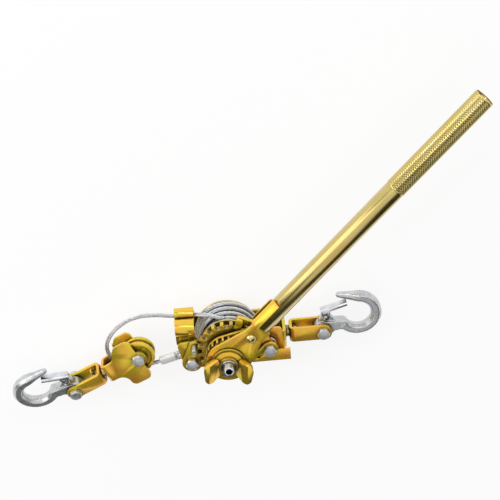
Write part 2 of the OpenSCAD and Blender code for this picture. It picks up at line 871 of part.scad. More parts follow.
module swivel_pin_body() {
    head_r = 6.8;
    tail_r = 6.4;
    inner = clevis_length - leg_t;
    outer = clevis_length + swivel_gap + 3.5;
    color([0.84, 0.80, 0.68]) {
        translate([inner - 5, 0, 0]) rotate([0, 90, 0]) cylinder(r = swivel_r, h = outer - inner + 6);
        translate([inner - 2.5, 0, 0]) rotate([0, 90, 0]) cylinder(r1 = head_r, r2 = swivel_r, h = 2.5);
        translate([clevis_length, 0, 0]) rotate([0, 90, 0]) cylinder(r = head_r, h = swivel_gap - run);
        translate([outer + 0.2, 0, 0]) rotate([0, 90, 0]) cylinder(r1 = swivel_r + 0.3, r2 = tail_r, h = pin_head_t / 2);
        translate([outer + 0.2 + pin_head_t / 2, 0, 0]) rotate([0, 90, 0]) cylinder(r = tail_r, h = pin_head_t / 2);
    }
}

module at_load_clevis() {
    translate([load_clevis_at[0], load_clevis_at[1], line_z]) rotate(block_angle) rotate([load_roll, 0, 0]) children();
}

module at_anchor_clevis() {
    translate([anchor_clevis_at[0], anchor_clevis_at[1], line_z]) rotate(180) children();
}

module load_clevis() {
    at_load_clevis() clevis_body();
}

module load_swivel_pin() {
    at_load_clevis() swivel_pin_body();
}

module load_clevis_bolt() {
    color([0.78, 0.79, 0.82]) at_load_clevis() through_bolt(clevis_half, 2);
}

module load_cotter() {
    wire = 1;
    x = clevis_length - leg_t - 6.6;
    color([0.86, 0.70, 0.26])
        at_load_clevis()
            translate([x, 0, 0]) {
                translate([0, 8.4, 0]) rotate([0, 90, 0]) rotate_extrude() translate([2.8, 0]) circle(r = wire);
                translate([0, 5.8, 0]) rotate([90, 0, 0]) cylinder(r = wire, h = 14);
            }
}

module anchor_clevis() {
    at_anchor_clevis() clevis_body();
}

module anchor_swivel_pin() {
    at_anchor_clevis() swivel_pin_body();
}

module anchor_clevis_bolt() {
    color([0.78, 0.79, 0.82]) at_anchor_clevis() through_bolt(clevis_half, 2);
}

// Flat-sided octagon of the forging between an inner and an outer radius
function forged_section(inner, outer, half) = [
    [inner, -3], [inner + 3, -half], [outer - 3, -half], [outer, -3],
    [outer, 3], [outer - 3, half], [inner + 3, half], [inner, 3]
];

// Forged latch hook: eye at the origin, bowl towards +x, throat towards +y
module hook_body() {
    half = hook_t / 2;
    tip_dir = [cos(tip_angle + 90), sin(tip_angle + 90)];
    top = bowl_at + bowl_mid * [cos(tip_angle), sin(tip_angle)];
    heel = bowl_at + bowl_mid * [cos(heel_angle), sin(heel_angle)];
    mid_arm = top + 12 * tip_dir + 1.2 * [cos(tip_angle), sin(tip_angle)];
    end_arm = top + 22.5 * tip_dir + 2.5 * [cos(tip_angle), sin(tip_angle)];
    outer = bowl_r + hook_width;
    section = forged_section(bowl_r, outer, half);
    arm_section = forged_section(bowl_r + skin, outer - skin, half - skin);
    color([0.62, 0.63, 0.65])
        difference() {
            union() {
                translate([bowl_at[0], bowl_at[1], 0])
                    rotate(heel_angle) rotate_extrude(angle = tip_angle - heel_angle) polygon(section);
                slab(skin - half, hook_t - 2 * skin) {
                    circle(r = eye_r);
                    belt([[5, 4, 6.4], [heel[0], heel[1], hook_width / 2 - 0.8]]);
                    belt([[0, 0, eye_r], [14, 3.2, 5.2]]);
                }
                slab(-lug_half, 2 * lug_half)
                    belt([[0, 0, eye_r - 2], [14, 2, 6], [latch_at[0], latch_at[1], 4.4]]);
                hull() {
                    translate([bowl_at[0], bowl_at[1], 0])
                        rotate(tip_angle) rotate([90, 0, 0]) translate([0, 0, -0.4]) linear_extrude(0.5) polygon(arm_section);
                    translate(concat(mid_arm, 0)) rotate([90, 0, tip_angle]) linear_extrude(0.5) circle(r = 4.9);
                }
                hull() {
                    translate(concat(mid_arm, 0)) rotate([90, 0, tip_angle]) linear_extrude(0.5) circle(r = 4.9);
                    translate(concat(end_arm, 0)) sphere(r = 3.5);
                }
            }
            rod([0, 0], bolt_r + run, -half - 1, hook_t + 2);
            rod(latch_at, 1.7, -half, hook_t);
        }
}

module latch_rivet_body() {
    color([0.70, 0.71, 0.74]) {
        rod(latch_at, 1.7 - run, -latch_half - 0.6, 2 * latch_half + 1.2);
        for (z = [-latch_half - 1.2, latch_half + 0.2]) rod(latch_at, 2.7, z, 1);
    }
}

// Sheet latch: ears on the rivet, channel closing the throat
module latch_body() {
    base_y = 6.2;
    top_y = 10.3;
    left = -3;
    reach = 31.5;
    color([0.74, 0.75, 0.77])
        translate([latch_at[0], latch_at[1], 0]) rotate(latch_lean)
            difference() {
                union() {
                    translate([left, 0, 0])
                        rotate([90, 0, 90])
                            linear_extrude(reach)
                                difference() {
                                    belt([[top_y - 3, 2.5, 3], [base_y + 0.3, latch_half - 0.3, 0.3],
                                        [base_y + 0.3, 0.3 - latch_half, 0.3], [top_y - 3, -2.5, 3]]);
                                    belt([[top_y - 3, 2.5, 3 - latch_wall], [base_y - 5, latch_half - latch_wall - 0.3, 0.3],
                                        [base_y - 5, 0.3 + latch_wall - latch_half, 0.3], [top_y - 3, -2.5, 3 - latch_wall]]);
                                }
                    for (z = [-latch_half, latch_half - latch_wall]) {
                        slab(z, latch_wall) belt([[0, 0, 4.2], [7.5, base_y + 1, 1], [-1.5, base_y + 1, 1]]);
                    }
                }
                rod([0, 0], 1.7, -10, 20);
            }
}

module at_load_hook() {
    at_load_clevis() rotate(180 + load_hook_angle) mirror([0, 1, 0]) children();
}

module at_anchor_hook() {
    translate([anchor_clevis_at[0], anchor_clevis_at[1], line_z]) rotate(anchor_hook_angle) children();
}

module load_hook() {
    at_load_hook() hook_body();
}

module load_latch_rivet() {
    at_load_hook() latch_rivet_body();
}

module load_latch() {
    at_load_hook() latch_body();
}

module anchor_hook() {
    at_anchor_hook() hook_body();
}

module anchor_latch_rivet() {
    at_anchor_hook() latch_rivet_body();
}

module anchor_latch() {
    at_anchor_hook() latch_body();
}

rear_plate();
middle_plate();
anchor_plate();
front_bracket();
end_bracket();
bracket_rivets();
cable_guide();
anchor_bolt();
pawl_bolt();
frame_nuts();
frame_spacers();
stop_pin();
main_axle();
cap_screw();
pawl_spring();
cable_run();
cable_ferrule();
cable_eye();
cable_thimble();
cable_drum();
rope_layers();
rope_winding();
holding_ratchet();
drive_ratchet();
knob_ring();
wing_knob();
holding_pawl();
handle_front_jaw();
handle_rear_jaw();
handle_tube();
handle_grip();
handle_rivet();
drive_pawl();
block_shell();
block_bolt();
sheave();
load_clevis();
load_swivel_pin();
load_clevis_bolt();
load_cotter();
load_hook();
load_latch_rivet();
load_latch();
anchor_clevis();
anchor_swivel_pin();
anchor_clevis_bolt();
anchor_hook();
anchor_latch_rivet();
anchor_latch();
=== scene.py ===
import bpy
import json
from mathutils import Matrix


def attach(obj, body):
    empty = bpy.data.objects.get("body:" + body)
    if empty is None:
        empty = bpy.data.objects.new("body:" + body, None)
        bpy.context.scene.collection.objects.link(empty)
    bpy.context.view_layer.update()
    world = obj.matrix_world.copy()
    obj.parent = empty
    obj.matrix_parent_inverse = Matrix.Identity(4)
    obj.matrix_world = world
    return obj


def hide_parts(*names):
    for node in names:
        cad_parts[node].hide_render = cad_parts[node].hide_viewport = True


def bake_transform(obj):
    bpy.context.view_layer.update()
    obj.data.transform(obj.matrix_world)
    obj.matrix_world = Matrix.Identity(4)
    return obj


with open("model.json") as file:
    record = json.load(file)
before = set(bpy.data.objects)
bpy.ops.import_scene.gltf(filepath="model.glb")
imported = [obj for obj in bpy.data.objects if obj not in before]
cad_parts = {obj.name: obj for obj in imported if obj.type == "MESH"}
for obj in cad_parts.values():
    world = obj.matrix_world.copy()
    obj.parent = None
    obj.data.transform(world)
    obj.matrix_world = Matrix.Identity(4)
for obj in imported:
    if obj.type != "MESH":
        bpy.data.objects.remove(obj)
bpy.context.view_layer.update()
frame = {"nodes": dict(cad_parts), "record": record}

import json
import math
import bmesh
import bpy
from mathutils import Matrix, Vector

scene = bpy.context.scene
mm = 0.001
fullTurn = 2 * math.pi
bodyOf = {node: body for body, members in frame["record"]["behaviour"]["bodies"].items()
          for node in members}

# ---- camera, on the drum side of the winch and looking down past the knob

cameraSetup = {
    "place": (0.0349, 0.7833, 1.2010),
    "right": (0.99604, -0.07698, 0.04445),
    "up": (0.08889, 0.86260, -0.49802),
    "back": (0.0, 0.5, 0.86603),
    "lens": 87.48,
    "sensor": 36,
    "near": 0.05,
    "far": 20,
}


def makeCamera(setup):
    data = bpy.data.cameras.new("benchCamera")
    data.lens = setup["lens"]
    data.sensor_width = setup["sensor"]
    data.clip_start = setup["near"]
    data.clip_end = setup["far"]
    camera = bpy.data.objects.new("benchCamera", data)
    scene.collection.objects.link(camera)
    columns = [Vector(setup[key]) for key in ("right", "up", "back", "place")]
    rows = [[column[row] for column in columns] for row in range(3)]
    camera.matrix_world = Matrix(rows + [[0, 0, 0, 1]])
    scene.camera = camera


makeCamera(cameraSetup)
print("camera placed")

# ---- mesh helpers


def addPiece(name, mesh, body, material, replaced):
    # a piece with no body is left unattached
    piece = bpy.data.objects.new(name, mesh)
    scene.collection.objects.link(piece)
    mesh.materials.clear()
    mesh.materials.append(material)
    if body:
        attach(piece, body)
    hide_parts(*replaced)
    return piece


def meshFrom(name, points, faces, smooth=True):
    mesh = bpy.data.meshes.new(name)
    mesh.from_pydata([tuple(point) for point in points], [], faces)
    mesh.update()
    if smooth:
        mesh.polygons.foreach_set("use_smooth", [True] * len(mesh.polygons))
    return mesh


def runningLengths(line):
    lengths = [0.0]
    for a, b in zip(line, line[1:]):
        lengths.append(lengths[-1] + (b - a).length)
    return lengths


def curvePoints(route, steps):
    # the same rounded curve through the route as in the solids
    line = []
    for i in range(len(route) - 1):
        a, b = route[max(i - 1, 0)], route[i]
        c, d = route[i + 1], route[min(i + 2, len(route) - 1)]
        for k in range(steps):
            t = k / steps
            line.append(0.5 * (2 * b + (c - a) * t + (2 * a - 5 * b + 4 * c - d) * t * t
                               + (3 * b - a - 3 * c + d) * t * t * t))
    return line + [route[-1]]


def resample(line, spacing):
    # evenly spaced points, at least four of them
    lengths = runningLengths(line)
    count = max(3, int(round(lengths[-1] / spacing)))
    fresh, k = [], 0
    for i in range(count + 1):
        at = lengths[-1] * i / count
        while k < len(line) - 2 and lengths[k + 1] < at:
            k += 1
        share = (at - lengths[k]) / max(lengths[k + 1] - lengths[k], 1e-9)
        fresh.append(line[k].lerp(line[k + 1], share))
    return fresh


def framesAlong(line):
    # a direction and two square sides at each point, carried along without twist
    last = len(line) - 1
    ways = [(line[min(i + 1, last)] - line[max(i - 1, 0)]).normalized() for i in range(last + 1)]
    side = ways[0].cross(Vector((0, 0, 1)))
    nearlyUpright = side.length <= 0.01
    side = (ways[0].cross(Vector((1, 0, 0))) if nearlyUpright else side).normalized()
    frames = []
    for way in ways:
        side = (side - way * side.dot(way)).normalized()
        frames.append((way, side, way.cross(side)))
    return frames


def bandFaces(rings, sides, first=0):
    # the walls of a tube whose rings of points follow each other
    faces = []
    for i in range(rings - 1):
        a, b = first + i * sides, first + (i + 1) * sides
        for k in range(sides):
            n = (k + 1) % sides
            faces.append((a + k, a + n, b + n, b + k))
    return faces


def capFaces(rings, sides, first=0):
    last = first + (rings - 1) * sides
    return [tuple(first + k for k in range(sides - 1, -1, -1)),
            tuple(last + k for k in range(sides))]


def strandedMesh(name, line, rope):
    # outer strands laid in a helix, each with its own wires showing as ridges
    frames = framesAlong(line)
    lengths = runningLengths(line)
    strandRadius = rope["diameter"] / 2 / (1 + 1 / math.sin(math.pi / rope["strands"]))
    layRadius = rope["diameter"] / 2 - strandRadius
    strandRadius *= rope["fullness"]
    sides = rope["wires"] * 2
    points, faces = [], []
    for s in range(rope["strands"]):
        first = len(points)
        for i, (way, side, other) in enumerate(frames):
            turn = fullTurn * (s / rope["strands"] + lengths[i] / rope["lay"])
            out = side * math.cos(turn) + other * math.sin(turn)
            across = way.cross(out)
            for k in range(sides):
                a = fullTurn * (k / sides - lengths[i] / rope["lay"] * rope["wireTwist"])
                r = strandRadius * (1.0 if k % 2 == 0 else rope["groove"])
                away = out * (layRadius + r * math.cos(a)) + across * (r * math.sin(a))
                points.append(line[i] + away)
        faces += bandFaces(len(line), sides, first) + capFaces(len(line), sides, first)
    return meshFrom(name, points, faces)


def tubeMesh(name, line, radius, sides):
    angles = [fullTurn * k / sides for k in range(sides)]
    points = [at + radius * (side * math.cos(a) + other * math.sin(a))
              for at, (way, side, other) in zip(line, framesAlong(line)) for a in angles]
    faces = bandFaces(len(line), sides) + capFaces(len(line), sides)
    return meshFrom(name, points, faces)


carriedSolids = {
    "weld": 0.00001,
    "flatAngle": math.radians(0.8),
    "edgeAngle": math.radians(28),
    "edgeSegments": 2,
    "skinVoxel": 0.6 * mm,
    "skinFactor": 0.5,
    "skinPasses": 4,
}


def reworkMesh(mesh, change):
    work = bmesh.new()
    work.from_mesh(mesh)
    change(work)
    work.to_mesh(mesh)
    work.free()


def weldDoubles(work):
    bmesh.ops.remove_doubles(work, verts=work.verts, dist=carriedSolids["weld"])


def joinFlats(work):
    bmesh.ops.dissolve_limit(work, angle_limit=carriedSolids["flatAngle"], verts=work.verts,
                             edges=work.edges)


def cadCopy(node, label):
    # a welded copy of a solid's faces, to be rounded or softened
    mesh = frame["nodes"][node].data.copy()
    mesh.name = label
    reworkMesh(mesh, weldDoubles)
    return mesh


def applyModifiers(piece):
    # keep what the modifiers make as the plain mesh
    evaluated = piece.evaluated_get(bpy.context.evaluated_depsgraph_get())
    mesh = bpy.data.meshes.new_from_object(evaluated)
    piece.modifiers.clear()
    piece.data = mesh


def roundedNode(node, material, width):
    # the solid with its sharp edges broken, width in millimetres
    name = node + "_dressed"
    mesh = cadCopy(node, name)
    reworkMesh(mesh, joinFlats)
    mesh.shade_smooth()
    piece = addPiece(name, mesh, bodyOf[node], material, (node,))
    bevel = piece.modifiers.new("edge", "BEVEL")
    bevel.harden_normals = True
    bevel.width = width * mm
    bevel.segments = carriedSolids["edgeSegments"]
    bevel.limit_method = "ANGLE"
    bevel.angle_limit = carriedSolids["edgeAngle"]
    bevel.use_clamp_overlap = True
    applyModifiers(piece)


def forgedNode(node, material):
    # the solid with its corners softened as forging leaves them
    name = node + "_dressed"
    piece = addPiece(name, cadCopy(node, name), bodyOf[node], material, (node,))
    remesh = piece.modifiers.new("skin", "REMESH")
    remesh.mode = "VOXEL"
    remesh.voxel_size = carriedSolids["skinVoxel"]
    remesh.use_smooth_shade = True
    smooth = piece.modifiers.new("soften", "SMOOTH")
    smooth.factor = carriedSolids["skinFactor"]
    smooth.iterations = carriedSolids["skinPasses"]
    applyModifiers(piece)
    piece.data.shade_smooth()


# ---- shader helpers


def addNode(nodes, kind, **settings):
    node = nodes.new("ShaderNode" + kind)
    for key, value in settings.items():
        setattr(node, key, value)
    return node


def setInputs(node, values):
    for key, value in values.items():
        node.inputs[key].default_value = value


def fillRamp(ramp, stops):
    # stops are places and colours, in rising order
    while len(ramp.color_ramp.elements) < len(stops):
        ramp.color_ramp.elements.new(0.5)
    for element, (at, colour) in zip(ramp.color_ramp.elements, stops):
        element.position = at
        element.color = (*colour, 1)


# where a colour mix keeps its two colours and its result
mixNear, mixFar, mixResult = 6, 7, 2

# ---- finishes

surface = {
    "cloudDetail": 4,
    "wornDetail": 6,
    "wornSpan": (0.3, 0.7),
    "grainDetail": 3,
    "grainHeight": 0.0002,
    "shadeSamples": 6,
}


def paintedRecessShade(nodes, links, colour, look):
    # painted shade: the colour turns dark brown where parts stand close together, where shade
    # would fall
    low, high = look.get("shadeRange", (0.32, 0.88))
    close = addNode(nodes, "AmbientOcclusion", samples=surface["shadeSamples"])
    setInputs(close, {"Distance": look["shadeReach"] * mm})
    shade = addNode(nodes, "MapRange")
    setInputs(shade, {"From Min": low, "From Max": high})
    mixed = addNode(nodes, "Mix", data_type="RGBA")
    setInputs(mixed, {mixNear: (*look["shadeTone"], 1)})
    links.new(close.outputs["AO"], shade.inputs["Value"])
    links.new(shade.outputs["Result"], mixed.inputs[0])
    links.new(colour, mixed.inputs[mixFar])
    return mixed.outputs[mixResult]


def finish(name, tones, look):
    # tones are colours over a cloudy pattern, look the gloss, the grain and any painted shade in
    # recesses
    material = bpy.data.materials.new(name)
    material.use_nodes = True
    nodes, links = material.node_tree.nodes, material.node_tree.links
    shader = nodes["Principled BSDF"]
    setInputs(shader, {"Metallic": look.get("metal", 1.0), "Coat Weight": look.get("coat", 0.0),
                       "Coat Roughness": look.get("coatRough", 0.12),
                       "Coat IOR": look.get("coatBend", 1.5)})
    place = addNode(nodes, "TexCoord")
    cloud = addNode(nodes, "TexNoise")
    setInputs(cloud, {"Scale": look["cloud"], "Detail": surface["cloudDetail"],
                      "Distortion": look.get("swirl", 0.6)})
    ramp = addNode(nodes, "ValToRGB")
    fillRamp(ramp, tones)
    links.new(place.outputs["Object"], cloud.inputs["Vector"])
    links.new(cloud.outputs["Fac"], ramp.inputs["Fac"])
    colour = ramp.outputs["Color"]
    # painted shade: recesses and gaps between parts get a darker colour
    if "shadeTone" in look:
        colour = paintedRecessShade(nodes, links, colour, look)
    links.new(colour, shader.inputs["Base Color"])
    worn = addNode(nodes, "TexNoise")
    setInputs(worn, {"Scale": look["wornScale"], "Detail": surface["wornDetail"]})
    spread = addNode(nodes, "MapRange")
    setInputs(spread, {"From Min": surface["wornSpan"][0], "From Max": surface["wornSpan"][1],
                       "To Min": look["rough"][0], "To Max": look["rough"][1]})
    links.new(place.outputs["Object"], worn.inputs["Vector"])
    links.new(worn.outputs["Fac"], spread.inputs["Value"])
    links.new(spread.outputs["Result"], shader.inputs["Roughness"])
    grain = addNode(nodes, "TexNoise")
    setInputs(grain, {"Scale": look["grain"], "Detail": surface["grainDetail"]})
    bump = addNode(nodes, "Bump")
    setInputs(bump, {"Strength": look["bump"], "Distance": surface["grainHeight"]})
    links.new(place.outputs["Object"], grain.inputs["Vector"])
    links.new(grain.outputs["Fac"], bump.inputs["Height"])
    links.new(bump.outputs["Normal"], shader.inputs["Normal"])
    return material


brightTones = [(0.35, (0.66, 0.67, 0.70)), (0.65, (0.80, 0.81, 0.83))]
brightLook = {"cloud": 90, "wornScale": 200, "rough": (0.12, 0.24), "grain": 1500, "bump": 0.06}

# rings of tone out from the screw's middle, in centimetres; the black middle is painted shade in
# the socket
socketShadeRings = [
    (0.0, (0.02, 0.02, 0.03)), (0.36, (0.02, 0.02, 0.03)), (0.38, (0.9, 0.9, 0.92)),
    (0.60, (0.9, 0.9, 0.92)), (0.66, (0.16, 0.18, 0.24)), (0.74, (0.16, 0.18, 0.24)),
    (0.80, (0.7, 0.72, 0.76)), (1.0, (0.30, 0.32, 0.38)),
]
ringScale = 100


def shadedSocketSteel(name):
    # bright cap with its socket painted black as shade, over a darker washer ring with a lighter
    # rim
    material = finish(name, brightTones, brightLook)
    nodes, links = material.node_tree.nodes, material.node_tree.links
    place = addNode(nodes, "TexCoord")
    axes = addNode(nodes, "SeparateXYZ")
    flat = addNode(nodes, "CombineXYZ")
    reach = addNode(nodes, "VectorMath", operation="LENGTH")
    scaled = addNode(nodes, "Math", operation="MULTIPLY")
    setInputs(scaled, {1: ringScale})
    rings = addNode(nodes, "ValToRGB")
    fillRamp(rings, socketShadeRings)
    links.new(place.outputs["Object"], axes.inputs[0])
    links.new(axes.outputs["X"], flat.inputs["X"])
    links.new(axes.outputs["Y"], flat.inputs["Y"])
    links.new(flat.outputs[0], reach.inputs[0])
    links.new(reach.outputs["Value"], scaled.inputs[0])
    links.new(scaled.outputs[0], rings.inputs["Fac"])
    links.new(rings.outputs["Color"], nodes["Principled BSDF"].inputs["Base Color"])
    return material


# finishes with a shade tone get painted shade in their recesses and between parts
goldZinc = finish(
    "goldZinc",
    [(0.32, (1.0, 0.47, 0.06)), (0.43, (0.98, 0.58, 0.05)), (0.55, (0.90, 0.65, 0.04)),
     (0.66, (0.77, 0.64, 0.03))],
    {"cloud": 26, "swirl": 1.2, "wornScale": 60, "rough": (0.20, 0.32), "grain": 900,
     "bump": 0.08, "coat": 0.2, "metal": 0.6,
     "shadeTone": (0.04, 0.024, 0.004), "shadeReach": 11, "shadeRange": (0.40, 0.92)},
)
tubeZinc = finish(
    "tubeZinc",
    [(0.30, (0.60, 0.42, 0.10)), (0.50, (0.64, 0.49, 0.14)), (0.70, (0.56, 0.45, 0.10))],
    {"cloud": 14, "swirl": 1.0, "wornScale": 60, "rough": (0.18, 0.28), "grain": 700,
     "bump": 0.05, "coat": 1.0, "coatRough": 0.2, "coatBend": 1.7},
)
teethZinc = finish(
    "teethZinc",
    [(0.32, (0.88, 0.44, 0.07)), (0.45, (0.84, 0.55, 0.06)), (0.60, (0.78, 0.60, 0.05))],
    {"cloud": 40, "swirl": 1.2, "wornScale": 60, "rough": (0.20, 0.32), "grain": 900,
     "bump": 0.08, "coat": 0.2, "metal": 0.6,
     "shadeTone": (0.03, 0.018, 0.004), "shadeReach": 16, "shadeRange": (0.48, 0.96)},
)
gripZinc = finish(
    "gripZinc",
    [(0.30, (0.66, 0.48, 0.14)), (0.50, (0.72, 0.57, 0.21)), (0.70, (0.66, 0.53, 0.16))],
    {"cloud": 18, "swirl": 0.8, "wornScale": 90, "rough": (0.10, 0.18), "grain": 900,
     "bump": 0.04, "coat": 0.2,
     "shadeTone": (0.02, 0.014, 0.004), "shadeReach": 1.6, "shadeRange": (0.45, 0.9)},
)
paleZinc = finish(
    "paleZinc",
    [(0.30, (0.78, 0.62, 0.26)), (0.55, (0.72, 0.60, 0.28)), (0.75, (0.60, 0.52, 0.22))],
    {"cloud": 40, "wornScale": 90, "rough": (0.18, 0.34), "grain": 1000, "bump": 0.1,
     "coat": 0.2, "shadeTone": (0.08, 0.06, 0.03), "shadeReach": 7},
)
silverZinc = finish(
    "silverZinc",
    [(0.35, (0.60, 0.62, 0.65)), (0.55, (0.78, 0.79, 0.80)), (0.75, (0.66, 0.67, 0.70))],
    {"cloud": 260, "wornScale": 300, "rough": (0.24, 0.42), "grain": 1200, "bump": 0.2,
     "metal": 0.8},
)
shinyZinc = finish(
    "shinyZinc",
    [(0.32, (0.98, 0.47, 0.07)), (0.44, (0.92, 0.57, 0.06)), (0.56, (0.86, 0.62, 0.05)),
     (0.68, (0.74, 0.60, 0.04))],
    {"cloud": 24, "swirl": 1.0, "wornScale": 60, "rough": (0.12, 0.22), "grain": 900,
     "bump": 0.06, "coat": 0.3, "metal": 0.78,
     "shadeTone": (0.04, 0.024, 0.004), "shadeReach": 11, "shadeRange": (0.40, 0.92)},
)
brightSteel = finish("brightSteel", brightTones, brightLook)
forgedSteel = finish(
    "forgedSteel",
    [(0.30, (0.50, 0.51, 0.52)), (0.50, (0.64, 0.65, 0.66)), (0.70, (0.72, 0.72, 0.73))],
    {"cloud": 110, "wornScale": 240, "rough": (0.18, 0.30), "grain": 700, "bump": 0.14,
     "metal": 0.72,
     "shadeTone": (0.05, 0.05, 0.06), "shadeReach": 9, "shadeRange": (0.35, 0.9)},
)
latchSteel = finish(
    "latchSteel",
    [(0.35, (0.62, 0.63, 0.66)), (0.65, (0.80, 0.81, 0.84))],
    {"cloud": 80, "wornScale": 180, "rough": (0.14, 0.28), "grain": 900, "bump": 0.15,
     "shadeTone": (0.05, 0.05, 0.06), "shadeReach": 7},
)
ropeSteel = finish(
    "ropeSteel",
    [(0.35, (0.62, 0.63, 0.65)), (0.60, (0.80, 0.81, 0.83))],
    {"cloud": 400, "wornScale": 500, "rough": (0.26, 0.42), "grain": 2500, "bump": 0.1},
)
# near-black rope: painted shade for the inner layer seen in the gaps between the outer turns
innerRopeShade = finish(
    "innerRopeShade",
    [(0.35, (0.09, 0.09, 0.10)), (0.60, (0.16, 0.16, 0.17))],
    {"cloud": 400, "wornScale": 500, "rough": (0.30, 0.45), "grain": 2500, "bump": 0.1},
)
ferruleAlloy = finish(
    "ferruleAlloy",
    [(0.35, (0.92, 0.92, 0.93)), (0.65, (0.98, 0.98, 0.98))],
    {"cloud": 150, "wornScale": 300, "rough": (0.32, 0.46), "grain": 1200, "bump": 0.15,
     "metal": 0.35},
)
print("finishes mixed")

# ---- wire rope

wireRope = {"diameter": 4.8 * mm, "strands": 6, "lay": 33 * mm, "wires": 5, "groove": 0.8,
            "fullness": 1.04, "wireTwist": 1.6, "spacing": 1.3 * mm}
sheaveSeat = {"centre": Vector((-104.7, -16.9, 32)), "radius": 17.4, "angles": (-120, -98, -76)}
ferrule = {"centre": Vector((-71.2, -27.2, 32)), "toward": Vector((-42.4, -19.4, 32)),
           "length": 19, "radius": 3.6, "reach": 2, "around": 48}
ferruleWay = (ferrule["toward"] - ferrule["centre"]).normalized()
ferruleSide = Vector((-ferruleWay.y, ferruleWay.x, 0))

# the route repeats the points of the solid rope, from the drum to the ferrule
ropeRoute = [Vector(point) for point in (
    (-0.4, 29.4, 43.8), (-8, 30.4, 43.8), (-15, 32.7, 41.8), (-22, 32.7, 38.7),
    (-31, 30.5, 33.4), (-39, 29.1, 30.3), (-48, 28.9, 29.8), (-60, 29.2, 29.5),
    (-80, 32.2, 29.3), (-99, 32.3, 29.8), (-116, 26.7, 30.4), (-130.5, 15.5, 31.4),
    (-138.5, 3, 32), (-140, -9, 32), (-136, -20, 32), (-126.5, -27, 32))]
for a in map(math.radians, sheaveSeat["angles"]):
    ropeRoute.append(sheaveSeat["centre"]
                     + sheaveSeat["radius"] * Vector((math.cos(a), math.sin(a), 0)))
ropeRoute += [Vector((-91, -32.3, 32)), ferrule["centre"] - ferruleWay * ferrule["length"] / 2]
curveSteps = 8

runLine = resample([point * mm for point in curvePoints(ropeRoute, curveSteps)],
                   wireRope["spacing"])
freeRope = addPiece("wire_rope_run", strandedMesh("wireRopeRun", runLine, wireRope), None,
                    ropeSteel, ("cable_run",))
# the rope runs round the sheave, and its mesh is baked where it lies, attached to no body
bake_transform(freeRope)

ropeEye = {"radius": 7.5, "clear": 0.6, "tail": 1.2, "sideGap": 0.25, "steps": 16}


def eyeLine(setup):
    # out of the ferrule, round the thimble and back, leaning in to meet it
    reach = (ferrule["toward"] - ferrule["centre"]).length
    start = reach - ferrule["length"] / 2 - setup["clear"]
    gap = wireRope["diameter"] / mm / 2 + setup["sideGap"]
    lean = math.asin(setup["radius"] / math.hypot(start, gap)) - math.atan2(gap, start)
    lean = math.degrees(lean)
    tail = reach - start - setup["tail"]
    flat = [(tail, gap), (reach - start, gap)]
    for i in range(setup["steps"] + 1):
        a = math.radians((90 + lean) * (1 - i / (setup["steps"] / 2)))
        flat.append((reach + setup["radius"] * math.cos(a), setup["radius"] * math.sin(a)))
    flat += [(reach - start, -gap), (tail, -gap)]
    return [(ferrule["centre"] + ferruleWay * x + ferruleSide * y) * mm for x, y in flat]


eyePath = resample(eyeLine(ropeEye), wireRope["spacing"])
eyeRope = addPiece("wire_rope_eye", strandedMesh("wireRopeEye", eyePath, wireRope),
                   bodyOf["cable_eye"], ropeSteel, ("cable_eye",))
print("rope run and eye laid")

# growth and pitch are per turn, both windings in millimetres
outerWinding = {"radius": 29.4, "growth": 2.06, "front": 43.8, "pitch": 6.743, "turns": 3.5,
                "start": 90, "spacing": 1.5}
innerWinding = {"radius": 24.0, "growth": 1.55, "front": 43.9, "pitch": 5.0, "turns": 4.75,
                "start": 60, "spacing": 2.0}
stepsPerTurn = 72


def windingLine(setup):
    line = []
    for i in range(int(setup["turns"] * stepsPerTurn) + 1):
        a = math.radians(setup["start"] - 360 / stepsPerTurn * i)
        z = setup["front"] - setup["pitch"] * i / stepsPerTurn
        r = setup["radius"] + setup["growth"] * i / stepsPerTurn
        line.append(Vector((r * math.cos(a), r * math.sin(a), z)) * mm)
    return resample(line, setup["spacing"] * mm)


addPiece("wire_rope_turns", strandedMesh("ropeTurns", windingLine(outerWinding), wireRope),
         "drum", ropeSteel, ("rope_winding",))
# the inner layer carries the near-black painted shade between the outer turns
addPiece("wire_rope_inner_turns",
         strandedMesh("ropeInnerTurns", windingLine(innerWinding), wireRope),
         "drum", innerRopeShade, ("rope_layers",))
print("drum wound")

# ---- hardware carried over from the solids, with the width of each broken edge

plateEdges = {
    "rear_plate": 0.5, "middle_plate": 0.5, "anchor_plate": 0.5, "front_bracket": 0.5,
    "end_bracket": 0.5, "cable_guide": 0.4, "handle_front_jaw": 0.5, "handle_rear_jaw": 0.5,
    "holding_ratchet": 0.4, "drive_ratchet": 0.4, "holding_pawl": 0.5, "drive_pawl": 0.5,
    "knob_ring": 0.3, "wing_knob": 0.5, "load_clevis": 0.5, "anchor_clevis": 0.5,
    "block_shell": 0.5, "sheave": 0.3, "frame_spacers": 0.3,
}
plateFinishes = {
    "cable_guide": shinyZinc, "wing_knob": shinyZinc,
    "holding_ratchet": teethZinc, "drive_ratchet": teethZinc, "knob_ring": teethZinc,
}
for node, width in plateEdges.items():
    roundedNode(node, plateFinishes.get(node, goldZinc), width)
roundedNode("handle_tube", tubeZinc, 0.3)

knurl = {"from": 273, "length": 131, "outer": 11.4, "inner": 10.6, "depth": 0.36,
         "around": 28, "rows": 48, "collar": 1.1, "chamfer": 0.4, "gap": 0.3,
         "axisY": -1.4, "axisZ": 80, "angle": 45.7}


